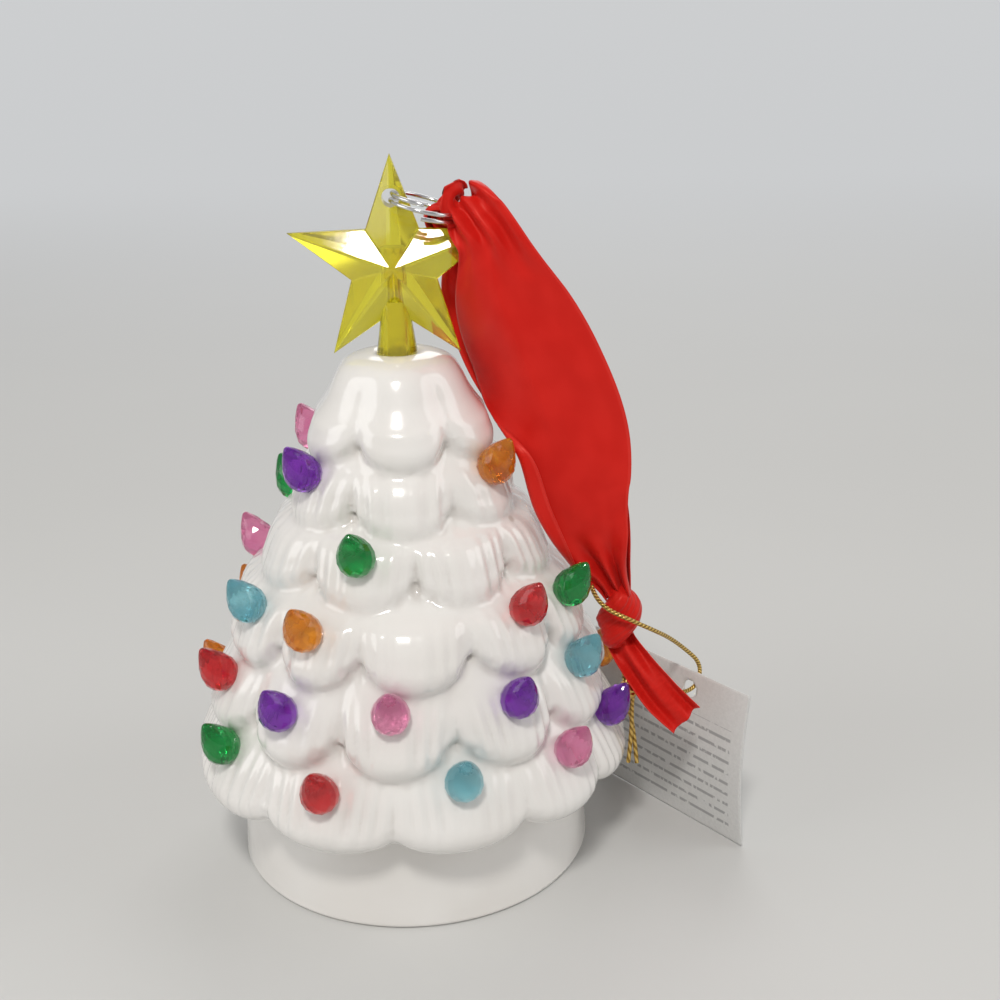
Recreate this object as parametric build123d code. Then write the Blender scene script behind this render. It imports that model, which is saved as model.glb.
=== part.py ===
from build123d import *
from math import atan2, cos, degrees, hypot, pi, radians, sin, sqrt, tan
import os

# Ceramic Christmas tree ornament: a hollow glazed tree of branch lobes on a drum base, with colour bulbs
# pegged into the lobes, a clear star with a split ring and a ribbon hanger, a hang tag on a gold cord, and a
# battery light unit in the base. Millimetres, +Z up, origin in the middle of the circle that the base stands
# on, -Y the front. An azimuth is counted from the front, positive towards +X.

# Base casting
base_radius = 32.3          # where it stands
base_top_radius = 31.4      # under the tree
base_height = 18.0
base_edge = 1.0             # rounding of its lower edge
spigot_radius = 26.6        # ring that centres the tree on the base
spigot_height = 4.0
spigot_fit = 0.2

# Tree casting: six tiers, counted from the top
tier_reach = [17.0, 20.8, 26.3, 33.0, 37.0, 40.0]
tier_hem = [58.6, 47.8, 37.4, 26.0, 13.0, 1.2]   # above the base
lobe_radius = [7.5, 7.8, 8.4, 8.8, 9.2, 10.4]
tier_azimuths = [
    [-60, 5, 66, 125, -175, -118],
    [-54, 4, 58, 118, 178, -122],
    [-62, -15, 29, 72, 120, 170, -122],
    [-56, -29, 4, 44, 67, 112, 155, -162, -116],
    [-64, -34, -2, 34, 63, 106, 146, -174, -120],
    [-56, -20, 16, 49, 73, 112, 150, -172, -140, -104],
]
branch_tilt = 42.0          # how far a lobe's face looks up, degrees
lobe_rim = 3.2              # radius of a lobe's rounded edge
lobe_crown = 1.2            # doming of a lobe's face above its edge
core_cover = 1.0            # core surface beyond the lobes' centres
skirt_radius = 36.0         # core at the tree's underside
crown_radius = 9.6          # flat top that carries the star
crown_height = 17.0         # above the hem of the top tier
crown_round = 2.6
wall = 5.6                  # core surface to the hollow
crown_wall = 6.5

# Bulbs: colour, tier and azimuth of each one, and how far it sits below the middle of its lobe
bulbs = [
    ("purple", 2, -54, 1.3), ("orange", 2, 58, 0.9), ("pink", 2, -122, 1.0), ("teal", 2, 178, 1.0),
    ("green", 3, -15, 1.8), ("green", 3, -122, 1.5), ("red", 3, 170, 1.5),
    ("pink", 4, -116, 2.2), ("teal", 4, -56, 1.3), ("orange", 4, -29, 2.2), ("red", 4, 44, 0.6),
    ("green", 4, 67, 1.8), ("purple", 4, 155, 1.5), ("red", 4, -162, 1.5),
    ("red", 5, -64, 2.4), ("purple", 5, -34, 3.0), ("pink", 5, -2, 0.9), ("purple", 5, 34, 1.5),
    ("teal", 5, 63, 0.7), ("green", 5, 146, 1.5), ("pink", 5, -174, 1.5), ("orange", 5, -120, 1.5),
    ("green", 6, -56, 2.9), ("red", 6, -20, 3.9), ("teal", 6, 16, 1.9), ("pink", 6, 49, 2.6),
    ("purple", 6, 73, 2.2), ("orange", 6, 112, 3.6), ("red", 6, 150, 3.8), ("purple", 6, -172, 3.8),
    ("pink", 6, -140, 2.4), ("orange", 6, -104, 2.4),
]
bulb_tilt = 60.0            # how far a bulb points up, degrees
bulb_sink = 0.5             # its flat seat below the lobe's face
peg_radius = 1.5
peg_length = 5.5
peg_fit = 0.1
bulb_radius = 3.3
bulb_foot = 2.4             # radius where the head meets the branch
bulb_length = 9.0           # foot to where the head's flanks would meet
bulb_tip = 0.35             # radius of its blunt tip

# Star
star_radius = 18.4
star_notch = 7.6
star_depth = 4.2            # middle of each face from the star's plane
star_edge = 0.5             # half the width of its rim
stem_radius = 3.0
stem_length = 7.0
stem_fit = 0.15
collar_radius = 3.5         # foot of the flared collar
collar_neck = 2.2           # top of the flared collar
collar_height = 9.0
star_bore = 1.6
star_bore_height = 18.0     # above the crown

# Split ring
ring_radius = 5.65          # middle of the wire
ring_wire = 0.7
ring_pitch = 1.15
ring_turns = 2
ring_tilt = 15.0            # it hangs this far below level, degrees
ring_hole = 1.5             # radius of the cross hole
ring_hole_drop = 7.0        # below the star's top

# Ribbon: the middle of each station of the loop, with its height from the ring's hole, the way its width lies
# there, its width and its bow
ribbon_thickness = 0.5
ribbon_stations = [
    ((37.6, -4.4, -69.5), (1, 0, 0), 4.6, 0.3),
    ((36.9, -5.1, -65.9), (1, 0, 0), 5.6, 0.4),
    ((34.4, -6.0, -59.9), (1, 0, 0.2), 11.0, 0.6),
    ((31.2, -2.6, -50.9), (1, 0, 0.3), 14.0, 1.2),
    ((26.6, 2.6, -39.9), (1, 0, 0.4), 15.4, 1.4),
    ((21.0, 5.4, -27.9), (1, 0, 0.5), 17.4, 1.3),
    ((15.6, 6.2, -16.9), (1, 0, 0.45), 14.0, 1.0),
    ((12.4, 5.4, -10.1), (1, 0.25, 0.3), 8.6, 0.6),
    ((10.4, 4.9, -7.5), (1, 0.3, 0.1), 5.0, 0.3),
    ((7.5, 3.2, -5.5), (1, 0.15, 0), 3.4, 0.2),
    ((6.9, 1.9, -3.3), (1, 0.1, 0), 3.0, 0.2),
    ((9.2, 1.3, -0.7), (0.6, 0.8, 0.2), 3.4, 0.2),
    ((10.9, -0.9, 0.8), (0.1, 1, 0.1), 4.6, 0.2),
    ((13.0, -2.8, 0.3), (-0.4, 1, 0), 6.4, 0.3),
    ((15.6, -4.6, -2.5), (-0.8, 0.9, -0.15), 9.4, 0.5),
    ((18.3, -6.0, -8.1), (-1, 0.3, -0.6), 13.2, 0.9),
    ((22.4, -6.6, -17.3), (-1, 0, -0.55), 15.8, 1.3),
    ((27.0, -7.0, -27.9), (-1, 0, -0.45), 17.6, 1.6),
    ((29.9, -7.4, -39.9), (-1, 0, -0.3), 18.4, 1.8),
    ((30.8, -8.2, -50.9), (-1, 0, -0.1), 16.6, 1.6),
    ((34.4, -8.0, -59.9), (-1, 0, 0), 10.4, 0.9),
    ((37.0, -6.6, -65.9), (-1, 0, 0), 5.6, 0.4),
    ((37.6, -5.9, -69.5), (-1, 0, 0), 4.6, 0.3),
]
knot_place = (37.6, -5.0)
knot_radius = 3.9
knot_neck = 2.7             # radius where the legs enter and the tail leaves
knot_height = 8.0
knot_wrap = 1.1             # radius of the turn that binds the knot
knot_wrap_tilt = 24.0
tail_thickness = 1.0        # two layers of ribbon
tail_stations = [
    ((0.0, 0.2, 0.0), (1, 0, 0), 4.4, 0.4),
    ((3.0, -3.2, -4.6), (1, 0, 0.75), 5.6, 0.7),
    ((7.4, -5.6, -9.8), (1, 0.1, 0.85), 6.4, 0.9),
    ((12.0, -6.4, -14.4), (1, 0.2, 0.95), 6.2, 0.7),
]

# Hang tag: a card that stands on edge beside the tree
tag_corner = (60.8, -9.3)   # its right lower corner
tag_heading = 129.0         # the way its lower edge runs from there, degrees from +X
tag_length = 40.0
tag_height = 31.0
tag_thickness = 0.5
tag_lift = 0.3
tag_hole = 1.6
tag_hole_along = 14.0
tag_hole_drop = 3.6

# Gold cord, from one loose end through the bead, round the ribbon's neck and the tag, to the other loose end
cord_diameter = 0.8
cord_route = [
    (41.2, -7.2, 17.2),
    (40.6, -7.0, 24.0),
    (39.1, -6.8, 31.0),
    (38.6, -4.4, 37.2),
    (37.6, -0.6, 41.4),
    (37.4, 1.4, 46.6),
    (37.2, 0.2, 51.6),
    (33.8, -1.6, 53.0),
    (32.4, -6.0, 52.6),
    (34.4, -9.9, 49.8),
    (39.4, -10.4, 47.4),
    (44.0, -7.2, 43.8),
    (47.2, -2.6, 40.2),
    (50.6, 1.8, 35.8),
    (54.0, 3.8, 31.8),
    (53.6, 2.9, 27.8),
    (50.2, 0.1, 27.2),
    (46.2, -3.6, 31.0),
    (42.6, -6.0, 34.6),
    (40.1, -6.8, 31.6),
    (40.2, -7.8, 24.4),
    (39.6, -7.6, 17.6),
]
cord_bend_share = 0.45      # of the shorter run, on each side of a bend
bead_radius = 1.75
bead_centre = (39.5, -6.7, 32.0)

# Light unit
foot_recess = 0.8           # light unit above the table
cover_lip = 2.8             # cover beyond the housing
cover_fit = 0.2
cover_thickness = 2.0
housing_fit = 0.4           # round the housing in the base
housing_room = 8.1          # between the cell's ring and the housing's wall
housing_height = 11.2       # above the cover
housing_wall = 1.6
boss_radius = 2.5
boss_gap = 0.5              # bosses to the housing's wall
boss_azimuths = [45, 135, -90]
screw_radius = 1.0
screw_length = 6.0
screw_fit = 0.1
screw_head = 1.9
screw_head_height = 1.1
screw_slot = 0.5            # width and depth of the driver slots
cell_radius = 10.0
cell_height = 3.2
cell_edge = 0.5
cell_fit = 0.7              # round the cell in the battery opening
cell_lift = 0.3             # cell above the door
cell_wall = 1.2             # ring on the cover that keeps the cell in place
cell_wall_height = 2.0
door_ledge = 1.0            # width of the step that the door closes on
door_recess = 1.2
door_fit = 0.25
door_lug = 2.4              # radius of the lug with the door's screw
door_lug_place = 13.0       # from the middle, towards the front
door_screw_radius = 0.8
door_screw_length = 3.4
door_screw_head = 1.5
door_screw_head_height = 0.5
door_boss = 2.0
board_thickness = 1.0
board_gap = 2.3             # cell to board, where the contacts sit
board_fit = 0.4
standoff_radius = 1.5
standoff_circle = 9.0
standoff_azimuths = [0, 120, -120]
led_radius = 2.5
led_rim = 2.9
led_rim_height = 1.0
led_height = 8.6
led_fit = 0.2
led_leg = 0.25
led_leg_spacing = 2.54
led_leg_end = 0.5           # legs below the board
contact_thickness = 0.3
contact_width = 4.0
contact_foot = 3.0
contact_fit = 0.1
contact_reach = 8.0         # outer end of the spring's foot from the middle
contact_tip = 1.6
contact_notch = 0.5         # round the contact in the cell's ring
switch_length = 9.0
switch_width = 4.0
switch_height = 3.4
switch_gap = 1.7            # behind the cell's ring
switch_travel = 2.0
slider_length = 2.4
slider_width = 1.4
slider_fit = 0.3
slider_recess = 0.2         # slider's end above the cover's underside
slider_depth = 1.6          # slider inside the switch body
slider_collar = 0.9         # collar round the slider that keeps it from falling out


def polar(azimuth, radius, height):
    """Point at an azimuth from the front, a distance from the axis and a height."""
    return Vector(radius * sin(radians(azimuth)), -radius * cos(radians(azimuth)), height)


def tier_centre(tier):
    """Radius and height of the middle of a tier's lobes, from its reach and hem."""
    drop = lobe_radius[tier] - lobe_rim
    radius = tier_reach[tier] - drop * sin(radians(branch_tilt)) - lobe_rim
    height = base_height + tier_hem[tier] + drop * cos(radians(branch_tilt)) + lobe_rim
    return radius, height


def crown_top():
    """Height of the flat top that carries the star."""
    return base_height + tier_hem[0] + crown_height


def lobe_plane(tier, azimuth):
    """Plane through a lobe's middle, with its Z axis out of the lobe's face."""
    radius, height = tier_centre(tier)
    out = polar(azimuth, cos(radians(branch_tilt)), sin(radians(branch_tilt)))
    return Plane(polar(azimuth, radius, height), x_dir=polar(azimuth + 90, 1, 0), z_dir=out)


def dome_below(tier):
    """How far the centre of a lobe's domed face lies below the lobe's middle plane."""
    return ((lobe_radius[tier] - lobe_rim) ** 2 - lobe_crown ** 2) / (2 * lobe_crown)


def bulb_plane(tier, azimuth, drop):
    """Plane of a bulb's flat seat, sunk a little into the domed face, with its Z axis along the bulb."""
    radius, height = tier_centre(tier)
    below = dome_below(tier)
    sphere = lobe_rim + lobe_crown + below
    lean = radians(branch_tilt)
    face = lean - drop / sphere
    rise = radians(bulb_tilt)
    radius += sphere * cos(face) - below * cos(lean) - bulb_sink * cos(rise)
    height += sphere * sin(face) - below * sin(lean) - bulb_sink * sin(rise)
    out = polar(azimuth, cos(rise), sin(rise))
    return Plane(polar(azimuth, radius, height), x_dir=polar(azimuth + 90, 1, 0), z_dir=out)


def turned(*lines):
    """Solid of revolution about Z from the lines of a closed outline in the XZ plane."""
    edges = [edge for line in lines for edge in line.edges()]
    return revolve(make_face(Wire(edges)), Axis.Z)


def profile(*points):
    """Points of radius and height as points of the XZ plane."""
    return [Vector(r, 0, z) for r, z in points]


def turned_polygon(*points):
    """Solid of revolution from a polygon of radius and height points."""
    return revolve(make_face(Polyline(*profile(*points), close=True)), Axis.Z)


def branch_lobe(tier):
    """One branch lobe: a thick round pad with a rolled edge and a domed face, at the origin."""
    edge = lobe_radius[tier] - lobe_rim
    below = dome_below(tier)
    sphere = lobe_rim + lobe_crown + below
    lean = atan2(edge, below)
    back, edge_back, rim, touch, dome, apex = profile(
        (0, -lobe_rim),
        (edge, -lobe_rim),
        (lobe_radius[tier], 0),
        (sphere * sin(lean), sphere * cos(lean) - below),
        (sphere * sin(lean / 2), sphere * cos(lean / 2) - below),
        (0, lobe_rim + lobe_crown),
    )
    return turned(
        Line(back, edge_back),
        ThreePointArc(edge_back, rim, touch),
        ThreePointArc(touch, dome, apex),
        Line(apex, back),
    )


def make_tree():
    """Hollow casting: a cone-like core with its lobes, less the hollow, the bulb holes and the star's socket."""
    tiers = range(len(tier_reach))
    top = crown_top()
    centres = [tier_centre(t) for t in tiers]
    shoulder = crown_radius - crown_round
    start, flat, corner, side = profile(
        (0, top),
        (shoulder, top),
        (shoulder + crown_round * sin(pi / 4), top - crown_round * (1 - cos(pi / 4))),
        (crown_radius, top - crown_round),
    )
    slope = profile(*[(r + core_cover, z) for r, z in centres], (skirt_radius, base_height), (0, base_height))
    core = turned(
        Line(start, flat),
        ThreePointArc(flat, corner, side),
        Polyline(side, *slope, start),
    )
    lobes = []
    for t in tiers:
        pad = branch_lobe(t)
        lobes += [lobe_plane(t, a).location * pad for a in tier_azimuths[t]]
    hollow_top = top - crown_wall
    inside = [(r + core_cover - wall, z) for r, z in centres if z < hollow_top]
    socket = spigot_radius + spigot_fit
    seat_top = base_height + spigot_height + spigot_fit
    hollow = turned_polygon(
        (0, hollow_top),
        (stem_radius + stem_fit, hollow_top),
        *inside,
        (socket, seat_top),
        (socket, base_height),
        (0, base_height),
    )
    under = Pos(0, 0, base_height) * Cylinder(
        2 * tier_reach[-1], lobe_radius[-1] * 2, align=(Align.CENTER, Align.CENTER, Align.MAX)
    )
    stem_hole = Pos(0, 0, top) * Cylinder(stem_radius + stem_fit, 2 * crown_wall)
    grow = (Align.CENTER, Align.CENTER, Align.MIN)
    hole = Pos(0, 0, -peg_length) * Cylinder(peg_radius + peg_fit, 2 * peg_length, align=grow)
    seat = hole.fuse(Cylinder(bulb_radius + peg_fit, bulb_radius, align=grow))
    holes = [bulb_plane(tier - 1, azimuth, drop).location * seat for _, tier, azimuth, drop in bulbs]
    solid = core.fuse(*lobes)
    return solid.cut(hollow, under, stem_hole, *holes)


def make_base():
    """Drum with a spigot for the tree above and a rebate for the light unit below."""
    rebate = cover_radius() + cover_fit
    ceiling = foot_recess + cover_thickness
    bore = housing_radius() + housing_fit
    slant = base_edge * (base_radius - base_top_radius) / base_height
    start, foot, bend, side = profile(
        (rebate, 0),
        (base_radius - base_edge, 0),
        (base_radius - base_edge * (1 - sin(pi / 4)), base_edge * (1 - cos(pi / 4))),
        (base_radius - slant, base_edge),
    )
    rest = profile(
        (base_top_radius, base_height),
        (spigot_radius, base_height),
        (spigot_radius, base_height + spigot_height),
        (bore, base_height + spigot_height),
        (bore, ceiling),
        (rebate, ceiling),
    )
    return turned(Line(start, foot), ThreePointArc(foot, bend, side), Polyline(side, *rest, start))


def make_bulb():
    """Teardrop head, a ball drawn out to a blunt tip, on a straight peg, seated at the origin."""
    ball = sqrt(bulb_radius ** 2 - bulb_foot ** 2)
    flank = bulb_radius / (bulb_length - ball)
    slope = flank / sqrt(1 - flank ** 2)
    tip_height = bulb_length - bulb_tip / slope
    peg_end, peg_edge, peg_top, foot, widest, touch, tip_edge, tip = profile(
        (0, -peg_length),
        (peg_radius, -peg_length),
        (peg_radius, 0),
        (bulb_foot, 0),
        (bulb_radius, ball),
        (bulb_radius * sqrt(1 - flank ** 2), ball + bulb_radius * flank),
        (bulb_tip, tip_height),
        (0, tip_height),
    )
    return turned(
        Polyline(peg_end, peg_edge, peg_top, foot),
        ThreePointArc(foot, widest, touch),
        Polyline(touch, tip_edge, tip, peg_end),
    )


def star_height():
    """Height of the star's middle: its two lower points stand on the tree's crown."""
    return crown_top() + star_radius * cos(radians(36))


def make_star():
    """Faceted five-point star with a flared collar and a hollow stem, and the cross hole for the ring."""
    middle = star_height()
    foot = crown_top()
    rims = []
    for side in (-star_edge, star_edge):
        ring = []
        for k in range(10):
            reach = star_notch if k % 2 else star_radius
            turn = radians(90 + 36 * k)
            ring.append(Vector(reach * cos(turn), side, middle + reach * sin(turn)))
        rims.append(ring)
    front, back = Vector(0, -star_depth, middle), Vector(0, star_depth, middle)
    faces = []
    for k in range(10):
        n = (k + 1) % 10
        faces.append(Polyline(front, rims[0][k], rims[0][n], close=True))
        faces.append(Polyline(back, rims[1][k], rims[1][n], close=True))
        faces.append(Polyline(rims[0][k], rims[0][n], rims[1][n], rims[1][k], close=True))
    body = Solid(Shell([make_face(f).face() for f in faces]))
    stem = turned_polygon(
        (0, foot - stem_length),
        (stem_radius, foot - stem_length),
        (stem_radius, foot),
        (collar_radius, foot),
        (collar_neck, foot + collar_height),
        (0, foot + collar_height),
    )
    bore_length = stem_length + star_bore_height
    bore = Pos(0, 0, foot - stem_length) * Cylinder(
        star_bore, bore_length, align=(Align.CENTER, Align.CENTER, Align.MIN)
    )
    cross = Pos(0, 0, ring_hole_height()) * Rot(90, 0, 0) * Cylinder(ring_hole, 4 * star_depth)
    return body.fuse(stem).cut(bore, cross)


def ring_hole_height():
    """Height of the cross hole, the axis that the ring swings about."""
    return star_height() + star_radius - ring_hole_drop


def biarc(start, start_way, end, end_way):
    """Two arcs that join two points and have the given directions there."""
    chord = end - start
    ways = start_way + end_way
    a = 2 * (1 - start_way.dot(end_way))
    b = 2 * chord.dot(ways)
    reach = (sqrt(b * b + 4 * a * chord.dot(chord)) - b) / (2 * a)
    joint = (start + start_way * reach + end - end_way * reach) / 2
    return [
        Edge.make_tangent_arc(start, start_way, joint),
        Edge.make_tangent_arc(end, end_way * -1, joint).reversed(),
    ]


def make_ring():
    """Two turns of round wire through the cross hole, each quarter turn on a pair of arcs."""
    along = Vector(cos(radians(ring_tilt)), 0, -sin(radians(ring_tilt)))
    across = Vector(0, 1, 0)
    up = along.cross(across)
    centre = Vector(0, 0, ring_hole_height()) + along * ring_radius
    climb = ring_pitch / (2 * pi)

    def at(turn):
        level = climb * (turn + pi / 2) - ring_pitch * (ring_turns + 0.5) / 2
        return centre + along * (ring_radius * cos(turn)) + across * (ring_radius * sin(turn)) + up * level

    def way(turn):
        return (across * (ring_radius * cos(turn)) - along * (ring_radius * sin(turn)) + up * climb).normalized()

    turns = [(k - 1) * pi / 2 for k in range(4 * ring_turns + 1)]
    edges = []
    for a, b in zip(turns, turns[1:]):
        edges += biarc(at(a), way(a), at(b), way(b))
    path = Wire(edges)
    marks = [path.position_at(k / 200) for k in range(201)]
    gap = min(
        (p - q).length - ring_wire for i, p in enumerate(marks) for q in marks[i + 40:]
    )
    print(f"split ring: least gap between turns {gap:.2f} mm")
    section = Plane(path.position_at(0), z_dir=path.tangent_at(0)) * Circle(ring_wire / 2)
    return sweep(section, path=path)


def strip(stations, thickness, origin, start_way, end_way):
    """Bent strip through stations of middle, width direction, width and bow, with its ends' directions."""
    middles = [Vector(*origin) + Vector(*place) for place, _, _, _ in stations]
    ways = [b - a for a, b in zip(middles, middles[2:])]
    outlines = []
    for middle, way, (_, lie, width, bow) in zip(middles, [start_way, *ways, end_way], stations):
        way = way.normalized()
        lie = Vector(*lie)
        local = Plane(middle, x_dir=lie - way * lie.dot(way), z_dir=way)
        near, near_up, far, far_up, rise, rise_up = [
            local.from_local_coords(Vector(x, y))
            for x, bend in ((-width / 2, 0), (width / 2, 0), (0, bow))
            for y in (bend, bend + thickness)
        ]
        outlines.append([
            Edge.make_three_point_arc(near, rise, far),
            Edge.make_line(far, far_up),
            Edge.make_three_point_arc(far_up, rise_up, near_up),
            Edge.make_line(near_up, near),
        ])
    faces = [make_face(Wire(outline)).face() for outline in (outlines[0], outlines[-1])]
    for before, after in zip(outlines, outlines[1:]):
        faces += [Face.make_surface_from_curves(a, b) for a, b in zip(before, after)]
    return Solid(Shell(faces))


def make_ribbon():
    """The loop of ribbon: up behind, through the ring and down in front, both ends cut level at the knot."""
    origin = (0, 0, ring_hole_height())
    return strip(ribbon_stations, ribbon_thickness, origin, Vector(0, 0, 1), Vector(0, 0, -1))


def knot_top():
    """Height of the knot's top, where the two legs of the loop end."""
    return ring_hole_height() + ribbon_stations[0][0][2]


def make_knot():
    """Bulging lump with one slanting turn round it."""
    half = knot_height / 2
    low, low_edge, belly, high_edge, high = profile(
        (0, -half),
        (knot_neck, -half),
        (knot_radius, 0),
        (knot_neck, half),
        (0, half),
    )
    lump = turned(Line(low, low_edge), ThreePointArc(low_edge, belly, high_edge), Polyline(high_edge, high, low))
    turn = Rot(0, knot_wrap_tilt, 0) * Torus(knot_radius - knot_wrap / 2, knot_wrap)
    return Pos(*knot_place, knot_top() - half) * lump.fuse(turn)


def make_tail():
    """Both ends of the ribbon, laid together, below the knot."""
    origin = (*knot_place, knot_top() - knot_height)
    last = Vector(*tail_stations[-1][0]) - Vector(*tail_stations[-2][0])
    return strip(tail_stations, tail_thickness, origin, Vector(0, 0, -1), last)


def make_tag():
    """Card on edge with a round hole near its top."""
    heading = Vector(cos(radians(tag_heading)), sin(radians(tag_heading)), 0)
    card = Box(tag_length, tag_thickness, tag_height, align=(Align.MIN, Align.CENTER, Align.MIN))
    hole = Rot(90, 0, 0) * Cylinder(tag_hole, 4 * tag_thickness)
    card = card.cut(Pos(tag_hole_along, 0, tag_height - tag_hole_drop) * hole)
    return Plane((*tag_corner, tag_lift), x_dir=heading, z_dir=(0, 0, 1)).location * card


def make_cord():
    """Thin round cord along its route, with an arc at every bend."""
    points = [Vector(*place) for place in cord_route]
    radii = []
    for before, at, after in zip(points, points[1:], points[2:]):
        first, second = at - before, after - at
        turn = radians(first.get_angle(second))
        radii.append(cord_bend_share * min(first.length, second.length) / tan(turn / 2))
    path = FilletPolyline(*points, radius=radii)
    print("gold cord: bend radii", *[f"{r:.1f}" for r in radii], f"mm, length {path.length:.0f} mm")
    section = Plane(path.position_at(0), z_dir=path.tangent_at(0)) * Circle(cord_diameter / 2)
    return sweep(section, path=path.wire())


def drum(radius, low, high):
    """Upright cylinder on the axis between two heights."""
    return Pos(0, 0, low) * Cylinder(radius, high - low, align=(Align.CENTER, Align.CENTER, Align.MIN))


def at_azimuths(solid, azimuths, radius):
    """Copies of a solid at azimuths round the axis."""
    return [Pos(*polar(a, radius, 0)) * solid for a in azimuths]


def cell_ring():
    """Outer radius of the ring that keeps the cell in place."""
    return cell_radius + cell_fit + cell_wall


def housing_radius():
    return cell_ring() + housing_room + housing_wall


def cover_radius():
    return housing_radius() + cover_lip


def boss_circle():
    """Distance of the screw bosses from the middle."""
    return housing_radius() - housing_wall - boss_gap - boss_radius


def switch_place():
    """Distance of the switch from the middle, towards the back."""
    return cell_ring() + switch_gap + switch_width / 2


def cell_bottom():
    return foot_recess + door_recess - door_fit + cell_lift


def board_bottom():
    return cell_bottom() + cell_height + board_gap


def door_outline(gap):
    """Disc with its lug, shrunk by a gap, at the height of the door."""
    disc = drum(cell_radius + cell_fit + door_ledge - gap, foot_recess, foot_recess + door_recess - gap)
    lug = drum(door_lug - gap, foot_recess, foot_recess + door_recess - gap)
    return disc.fuse(Pos(*polar(0, door_lug_place, 0)) * lug)


def screw(radius, length, head, head_height):
    """Countersunk-in screw with a driver slot, head downwards at the light unit's underside."""
    top = foot_recess + head_height
    body = drum(head, foot_recess, top).fuse(drum(radius, top, top + length))
    slot = Pos(0, 0, foot_recess) * Box(3 * head, screw_slot, screw_slot)
    return body.cut(slot)


def slider_slot(low, high):
    """Room for the slider over its travel, between two heights."""
    room = Box(
        slider_length + switch_travel + 2 * slider_fit,
        slider_width + 2 * slider_fit,
        high - low,
        align=(Align.CENTER, Align.CENTER, Align.MIN),
    )
    return Pos(*polar(180, switch_place(), low)) * room


def make_cover():
    """Bottom plate with the battery opening, the cell's ring, the screw holes and the switch slot."""
    low, high = foot_recess, foot_recess + cover_thickness
    opening = cell_radius + cell_fit
    plate = drum(cover_radius(), low, high)
    ring = drum(cell_ring(), high, high + cell_wall_height)
    boss = drum(door_boss, high, low + door_screw_head_height + door_screw_length + screw_fit)
    plate = plate.fuse(ring, Pos(*polar(0, door_lug_place, 0)) * boss)
    hole = drum(screw_radius + screw_fit, low, high)
    sink = drum(screw_head + screw_fit, low, low + screw_head_height)
    door_hole = drum(door_screw_radius + screw_fit, low, 2 * board_bottom())
    notch = Pos(opening, 0, high + contact_fit) * Box(
        4 * cell_wall,
        contact_width + 2 * contact_notch,
        2 * cell_wall_height,
        align=(Align.CENTER, Align.CENTER, Align.MIN),
    )
    return plate.cut(
        drum(opening, low, high + cell_wall_height),
        door_outline(0),
        notch,
        slider_slot(low, high),
        Pos(*polar(0, door_lug_place, 0)) * door_hole,
        *at_azimuths(hole.fuse(sink), boss_azimuths, boss_circle()),
    )


def make_housing():
    """Cup over the electronics, with its bosses, the board's stand-offs and the lamp's hole."""
    low = foot_recess + cover_thickness
    high = low + housing_height
    ceiling = high - housing_wall
    inner = housing_radius() - housing_wall
    cup = drum(housing_radius(), low, high).cut(drum(inner, low, ceiling), drum(led_radius + led_fit, low, high))
    boss = drum(boss_radius, low, ceiling)
    boss = boss.cut(drum(screw_radius + screw_fit, low, foot_recess + screw_head_height + screw_length + screw_fit))
    standoff = drum(standoff_radius, board_bottom() + board_thickness, ceiling)
    return cup.fuse(
        *at_azimuths(boss, boss_azimuths, boss_circle()),
        *at_azimuths(standoff, standoff_azimuths, standoff_circle),
    )


def make_door():
    """Round door with a lug for its screw and a grip slot."""
    sink = drum(door_screw_head + screw_fit, foot_recess, foot_recess + door_screw_head_height)
    hole = drum(door_screw_radius + screw_fit, foot_recess, foot_recess + door_recess)
    grip = Pos(0, 0, foot_recess) * Box(cell_radius, 2 * screw_slot, screw_slot)
    return door_outline(door_fit).cut(Pos(*polar(0, door_lug_place, 0)) * sink.fuse(hole), grip)


def make_cell():
    """Button cell with a smaller, raised negative face on top."""
    step = cell_height - cell_edge
    return drum(cell_radius, cell_bottom(), cell_bottom() + step).fuse(
        drum(cell_radius - 2 * cell_edge, cell_bottom() + step, cell_bottom() + cell_height)
    )


def bent_leaf(points):
    """Strip of sheet metal along a line of X and Z points, with its thickness above them."""
    low = [Vector(x, 0, z) for x, z in points]
    high = [Vector(x, 0, z + contact_thickness) for x, z in reversed(points)]
    return extrude(make_face(Polyline(*low, *high, close=True)), contact_width / 2, both=True)


def make_contact_negative():
    """Spring leaf from the board down to the middle of the cell."""
    foot = board_bottom() - contact_thickness
    touch = cell_bottom() + cell_height
    return bent_leaf([
        (-contact_reach, foot),
        (contact_foot - contact_reach, foot),
        (0, touch),
        (contact_tip, touch + contact_thickness),
    ])


def make_contact_positive():
    """Angle from the board down beside the cell's edge."""
    edge = cell_radius + contact_fit
    high = board_bottom()
    foot = Pos(edge, 0, high) * Box(
        contact_foot, contact_width, contact_thickness, align=(Align.MIN, Align.CENTER, Align.MAX)
    )
    drop = Pos(edge, 0, high) * Box(
        contact_thickness,
        contact_width,
        high - foot_recess - cover_thickness - 2 * contact_fit,
        align=(Align.MIN, Align.CENTER, Align.MAX),
    )
    return foot.fuse(drop)


def led_legs(radius):
    """The lamp's two legs through the board."""
    low = board_bottom() - led_leg_end
    leg = drum(radius, low, board_bottom() + board_thickness)
    return [Pos(x, 0, 0) * leg for x in (-led_leg_spacing / 2, led_leg_spacing / 2)]


def make_board():
    """Round board with cut-outs for the housing's bosses and holes for the lamp's legs."""
    low, high = board_bottom(), board_bottom() + board_thickness
    disc = drum(housing_radius() - housing_wall - board_fit, low, high)
    cut_out = drum(boss_radius + board_fit, low, high)
    return disc.cut(*at_azimuths(cut_out, boss_azimuths, boss_circle()), *led_legs(led_leg + contact_fit))


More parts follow.
